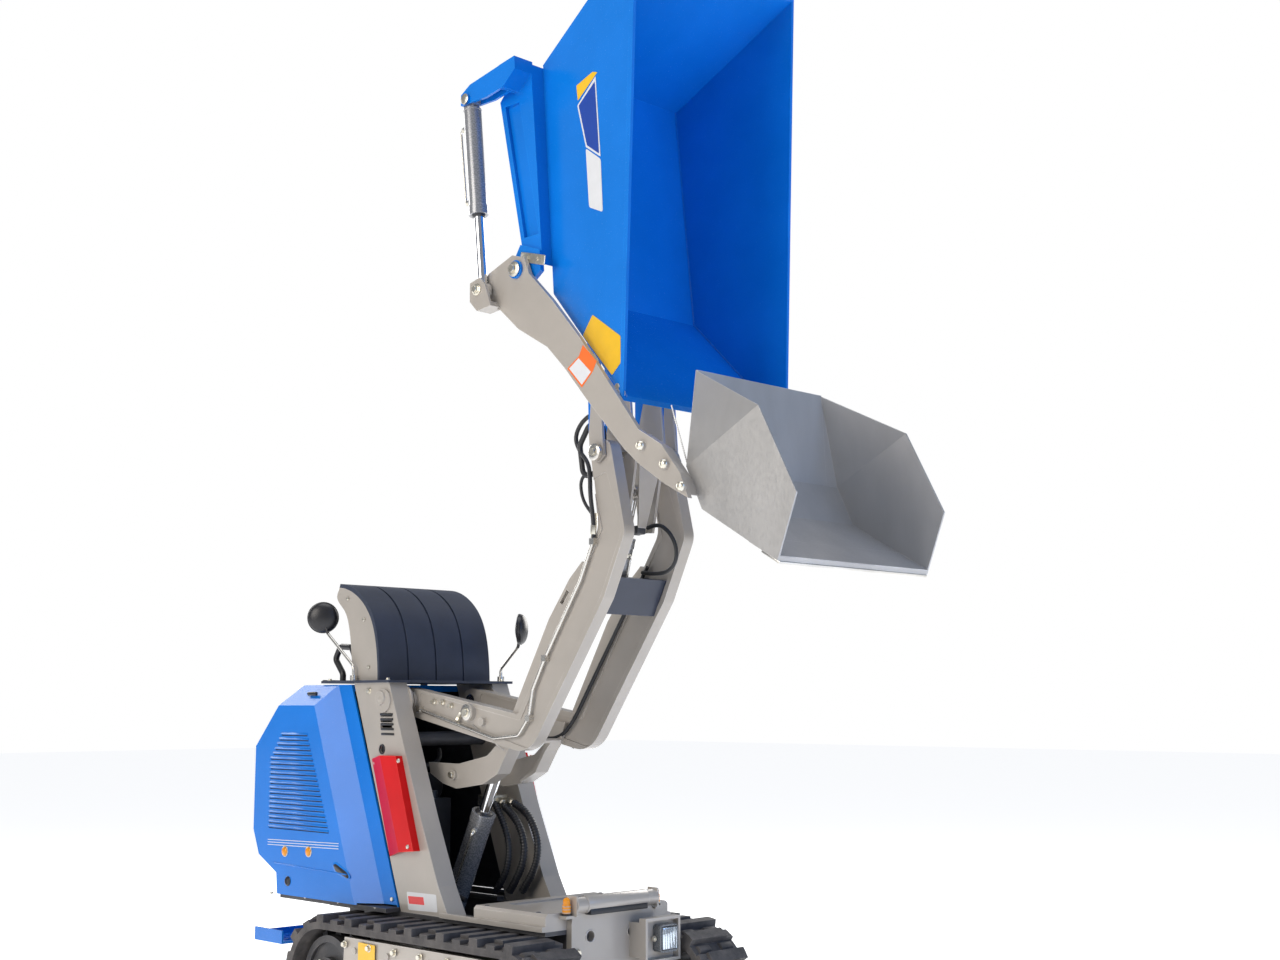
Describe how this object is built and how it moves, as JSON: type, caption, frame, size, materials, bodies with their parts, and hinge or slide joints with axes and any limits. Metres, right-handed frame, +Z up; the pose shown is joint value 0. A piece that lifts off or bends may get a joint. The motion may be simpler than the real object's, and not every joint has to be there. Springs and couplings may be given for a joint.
{
  "type": "power wheelbarrow",
  "caption": "Tracked high-tip power wheelbarrow: rubber tracks, engine hood, pillar-mounted cranked boom, tipping skip and self-loading shovel.",
  "frame": {"origin": "on the ground, under the centre of the two tracks", "axes": "+X forward, +Y to the machine's left, +Z up"},
  "size_m": [2.407, 0.79, 3.0921],
  "materials": {
    "blue_paint": "gloss",
    "frame_grey": "satin",
    "dark_guard": "satin",
    "red_paint": "gloss",
    "track_rubber": "matte",
    "dark_steel": "satin",
    "cylinder_grey": "satin",
    "chrome_rod": "polished",
    "shovel_steel": "brushed",
    "amber_lens": "gloss",
    "lamp_lens": "clear",
    "black_plastic": "matte",
    "hose_rubber": "matte",
    "pin_steel": "machined",
    "engine_iron": "cast"
  },
  "bodies": {
    "chassis": {"chassis_base": "dark_steel", "front_plate": "frame_grey", "side_lights": "amber_lens", "headlight": "lamp_lens", "chassis_tray": "frame_grey", "pillar_left": "frame_grey", "pillar_right": "frame_grey", "red_guard_left": "red_paint", "red_guard_right": "red_paint", "console_plate": "dark_guard", "console_guard": "dark_guard", "guard_end_plates": "frame_grey", "grab_handle": "black_plastic", "cross_tube": "dark_steel", "floor_pan": "dark_steel", "hood_shell": "blue_paint", "engine_block": "engine_iron", "muffler": "dark_steel", "fuel_tank": "black_plastic", "hydraulic_tank": "dark_steel", "hydraulic_pump": "engine_iron", "track_belt_left": "track_rubber", "track_belt_right": "track_rubber", "track_frame_left": "frame_grey", "track_frame_right": "frame_grey"},
    "drive_sprocket_left": {"drive_sprocket_left": "dark_steel"},
    "drive_sprocket_right": {"drive_sprocket_right": "dark_steel"},
    "idler_wheel_left": {"idler_wheel_left": "dark_steel"},
    "idler_wheel_right": {"idler_wheel_right": "dark_steel"},
    "front_track_roller_left": {"front_track_roller_left": "dark_steel"},
    "front_track_roller_right": {"front_track_roller_right": "dark_steel"},
    "rear_track_roller_left": {"rear_track_roller_left": "dark_steel"},
    "rear_track_roller_right": {"rear_track_roller_right": "dark_steel"},
    "operator_platform": {"operator_platform": "blue_paint"},
    "mirror_left": {"mirror_left": "black_plastic"},
    "mirror_right": {"mirror_right": "black_plastic"},
    "drive_lever_left": {"drive_lever_left": "black_plastic"},
    "drive_lever_right": {"drive_lever_right": "black_plastic"},
    "hydraulic_lever": {"hydraulic_lever": "black_plastic"},
    "lift_barrel": {"lift_barrel": "cylinder_grey"},
    "lift_rod": {"lift_rod": "chrome_rod"},
    "tilt_barrel": {"tilt_barrel": "cylinder_grey"},
    "tilt_rod": {"tilt_rod": "chrome_rod"},
    "boom": {"boom_plate_left": "frame_grey", "boom_plate_right": "frame_grey", "boom_straps": "frame_grey", "boom_cross_plate": "dark_guard", "crank_frame": "frame_grey", "boom_pins": "pin_steel", "boom_pipe": "pin_steel", "boom_hose": "hose_rubber"},
    "skip": {"skip_shell": "blue_paint", "skip_frame": "blue_paint"},
    "shovel_arms": {"shovel_arm_left": "frame_grey", "shovel_arm_right": "frame_grey", "shovel": "shovel_steel"},
    "arm_barrel_left": {"arm_barrel_left": "cylinder_grey"},
    "arm_barrel_right": {"arm_barrel_right": "cylinder_grey"},
    "arm_rod_left": {"arm_rod_left": "chrome_rod"},
    "arm_rod_right": {"arm_rod_right": "chrome_rod"}
  },
  "joints": [
    {"name": "sprocket_spin_left", "type": "hinge", "parent": "chassis", "child": "drive_sprocket_left", "pos_m": [-0.421, 0.305, 0.19], "axis": [0, 1, 0], "continuous": true},
    {"name": "idler_spin_left", "type": "hinge", "parent": "chassis", "child": "idler_wheel_left", "pos_m": [0.421, 0.305, 0.19], "axis": [0, 1, 0], "continuous": true},
    {"name": "front_roller_spin_left", "type": "hinge", "parent": "chassis", "child": "front_track_roller_left", "pos_m": [0.17, 0.305, 0.0873], "axis": [0, 1, 0], "continuous": true},
    {"name": "rear_roller_spin_left", "type": "hinge", "parent": "chassis", "child": "rear_track_roller_left", "pos_m": [-0.17, 0.305, 0.0873], "axis": [0, 1, 0], "continuous": true},
    {"name": "sprocket_spin_right", "type": "hinge", "parent": "chassis", "child": "drive_sprocket_right", "pos_m": [-0.421, -0.305, 0.19], "axis": [0, 1, 0], "continuous": true},
    {"name": "idler_spin_right", "type": "hinge", "parent": "chassis", "child": "idler_wheel_right", "pos_m": [0.421, -0.305, 0.19], "axis": [0, 1, 0], "continuous": true},
    {"name": "front_roller_spin_right", "type": "hinge", "parent": "chassis", "child": "front_track_roller_right", "pos_m": [0.17, -0.305, 0.0873], "axis": [0, 1, 0], "continuous": true},
    {"name": "rear_roller_spin_right", "type": "hinge", "parent": "chassis", "child": "rear_track_roller_right", "pos_m": [-0.17, -0.305, 0.0873], "axis": [0, 1, 0], "continuous": true},
    {"name": "platform_fold", "type": "hinge", "parent": "chassis", "child": "operator_platform", "pos_m": [-0.852, 0, 0.237], "axis": [0, 1, 0], "range_deg": [0, 85]},
    {"name": "mirror_swivel_left", "type": "hinge", "parent": "chassis", "child": "mirror_left", "pos_m": [-0.346, 0.238, 1.079], "axis": [0, 0, 1], "range_deg": [-10, 25]},
    {"name": "mirror_swivel_right", "type": "hinge", "parent": "chassis", "child": "mirror_right", "pos_m": [-0.5, -0.238, 1.079], "axis": [0, 0, 1], "range_deg": [-10, 25]},
    {"name": "drive_lever_left_swing", "type": "hinge", "parent": "chassis", "child": "drive_lever_left", "pos_m": [-0.608, 0.034, 1.055], "axis": [0, 1, 0], "range_deg": [-15, 15]},
    {"name": "drive_lever_right_swing", "type": "hinge", "parent": "chassis", "child": "drive_lever_right", "pos_m": [-0.608, -0.034, 1.055], "axis": [0, 1, 0], "range_deg": [-15, 15]},
    {"name": "hydraulic_lever_swing", "type": "hinge", "parent": "chassis", "child": "hydraulic_lever", "pos_m": [-0.608, -0.086, 1.055], "axis": [0, 1, 0], "range_deg": [-15, 15]},
    {"name": "boom_lift", "type": "hinge", "parent": "chassis", "child": "boom", "pos_m": [-0.335, 0, 1.015], "axis": [0, 1, 0], "range_deg": [0, 45]},
    {"name": "lift_barrel_swing", "type": "hinge", "parent": "chassis", "child": "lift_barrel", "pos_m": [-0.33, 0, 0.277], "axis": [0, 1, 0], "range_deg": [-2, 1]},
    {"name": "lift_rod_slide", "type": "slide", "parent": "lift_barrel", "child": "lift_rod", "axis": [0.4376, 0, 0.8992], "range_m": [-0.262, 0.001]},
    {"name": "skip_tilt", "type": "hinge", "parent": "boom", "child": "skip", "pos_m": [0.523, 0, 1.705], "axis": [0, 1, 0], "range_deg": [-90, 0]},
    {"name": "tilt_barrel_swing", "type": "hinge", "parent": "boom", "child": "tilt_barrel", "pos_m": [0.43, 0, 1.29], "axis": [0, 1, 0], "range_deg": [-1, 18]},
    {"name": "tilt_rod_slide", "type": "slide", "parent": "tilt_barrel", "child": "tilt_rod", "axis": [0.2719, 0, 0.9623], "range_m": [-0.001, 0.13]},
    {"name": "shovel_arms_swing", "type": "hinge", "parent": "skip", "child": "shovel_arms", "pos_m": [0.402, 0, 2.217], "axis": [0, 1, 0], "range_deg": [-60, 20]},
    {"name": "arm_barrel_swing_left", "type": "hinge", "parent": "skip", "child": "arm_barrel_left", "pos_m": [0.209, 0.3665, 2.759], "axis": [0, 1, 0], "range_deg": [-6.5, 2.5]},
    {"name": "arm_rod_slide_left", "type": "slide", "parent": "arm_barrel_left", "child": "arm_rod_left", "axis": [0.1091, 0, -0.994], "range_m": [-0.039, 0.116]},
    {"name": "arm_barrel_swing_right", "type": "hinge", "parent": "skip", "child": "arm_barrel_right", "pos_m": [0.209, -0.3665, 2.759], "axis": [0, 1, 0], "range_deg": [-6.5, 2.5]},
    {"name": "arm_rod_slide_right", "type": "slide", "parent": "arm_barrel_right", "child": "arm_rod_right", "axis": [0.1091, 0, -0.994], "range_m": [-0.039, 0.116]}
  ],
  "couplings": [
    {"joint": "idler_spin_left", "follows": "sprocket_spin_left", "ratio": 1},
    {"joint": "front_roller_spin_left", "follows": "sprocket_spin_left", "ratio": 3.2822},
    {"joint": "rear_roller_spin_left", "follows": "sprocket_spin_left", "ratio": 3.2822},
    {"joint": "idler_spin_right", "follows": "sprocket_spin_right", "ratio": 1},
    {"joint": "front_roller_spin_right", "follows": "sprocket_spin_right", "ratio": 3.2822},
    {"joint": "rear_roller_spin_right", "follows": "sprocket_spin_right", "ratio": 3.2822},
    {"joint": "lift_barrel_swing", "follows": "boom_lift", "ratio": -0.02633},
    {"joint": "lift_rod_slide", "follows": "boom_lift", "m_per_rad": -0.33027},
    {"joint": "tilt_barrel_swing", "follows": "skip_tilt", "ratio": -0.13599},
    {"joint": "tilt_rod_slide", "follows": "skip_tilt", "m_per_rad": -0.0743},
    {"joint": "arm_barrel_swing_left", "follows": "shovel_arms_swing", "ratio": 0.09873},
    {"joint": "arm_rod_slide_left", "follows": "shovel_arms_swing", "m_per_rad": -0.10936},
    {"joint": "arm_barrel_swing_right", "follows": "shovel_arms_swing", "ratio": 0.09873},
    {"joint": "arm_rod_slide_right", "follows": "shovel_arms_swing", "m_per_rad": -0.10936}
  ]
}
